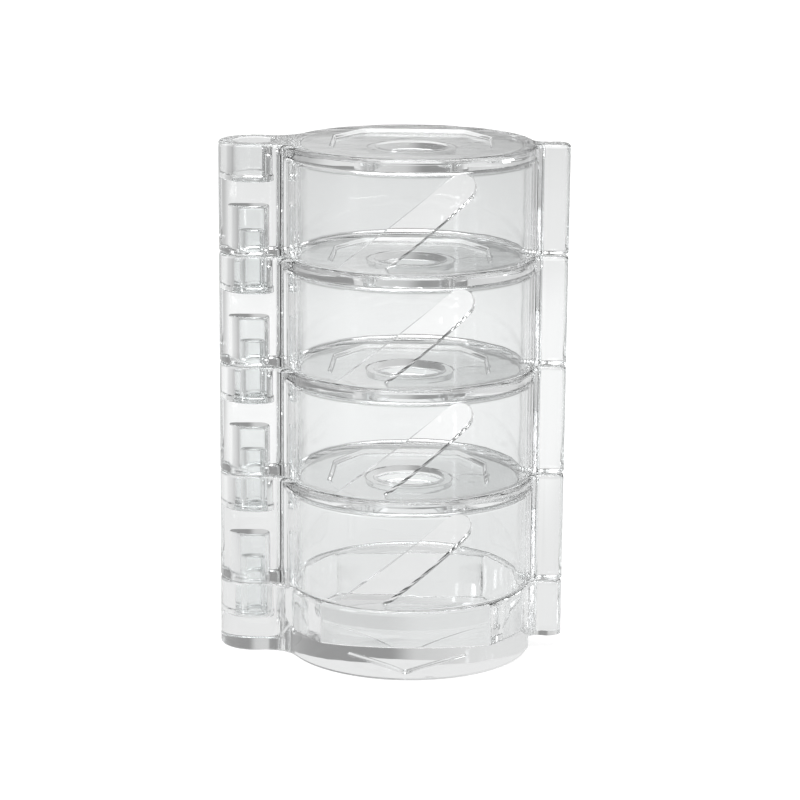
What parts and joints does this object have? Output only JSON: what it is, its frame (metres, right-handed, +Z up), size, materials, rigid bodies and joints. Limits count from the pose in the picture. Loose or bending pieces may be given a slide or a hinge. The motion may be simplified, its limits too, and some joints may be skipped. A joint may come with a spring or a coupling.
{
  "type": "thread spool storage box",
  "caption": "Clear swivel storage tower for thread and bobbins: round tiers with slanting slots turn out one by one on knuckles above a shallow base.",
  "frame": {"origin": "on the table, on the pivot axis that all the tiers share", "axes": "+Z up along the pivot axis, +X from the pivot through the round bodies to the finger posts, -Y towards the slotted front"},
  "size_m": [0.0841, 0.06, 0.125],
  "materials": {
    "clear_plastic": "polished clear polystyrene",
    "clear_pin_plastic": "polished clear polystyrene"
  },
  "bodies": {
    "stand": {"base": "clear_plastic"},
    "swing_tier_1": {"tier_1": "clear_plastic", "pivot_pin_1": "clear_pin_plastic"},
    "swing_tier_2": {"tier_2": "clear_plastic", "pivot_pin_2": "clear_pin_plastic"},
    "swing_tier_3": {"tier_3": "clear_plastic", "pivot_pin_3": "clear_pin_plastic"},
    "swing_tier_4": {"tier_4": "clear_plastic", "pivot_pin_4": "clear_pin_plastic"}
  },
  "joints": [
    {"name": "tier_1_turn", "type": "hinge", "parent": "stand", "child": "swing_tier_1", "pos_m": [0, 0, 0.017], "axis": [0, 0, 1], "continuous": true},
    {"name": "tier_2_turn", "type": "hinge", "parent": "swing_tier_1", "child": "swing_tier_2", "pos_m": [0, 0, 0.044], "axis": [0, 0, 1], "continuous": true},
    {"name": "tier_3_turn", "type": "hinge", "parent": "swing_tier_2", "child": "swing_tier_3", "pos_m": [0, 0, 0.071], "axis": [0, 0, 1], "continuous": true},
    {"name": "tier_4_turn", "type": "hinge", "parent": "swing_tier_3", "child": "swing_tier_4", "pos_m": [0, 0, 0.098], "axis": [0, 0, 1], "continuous": true}
  ]
}
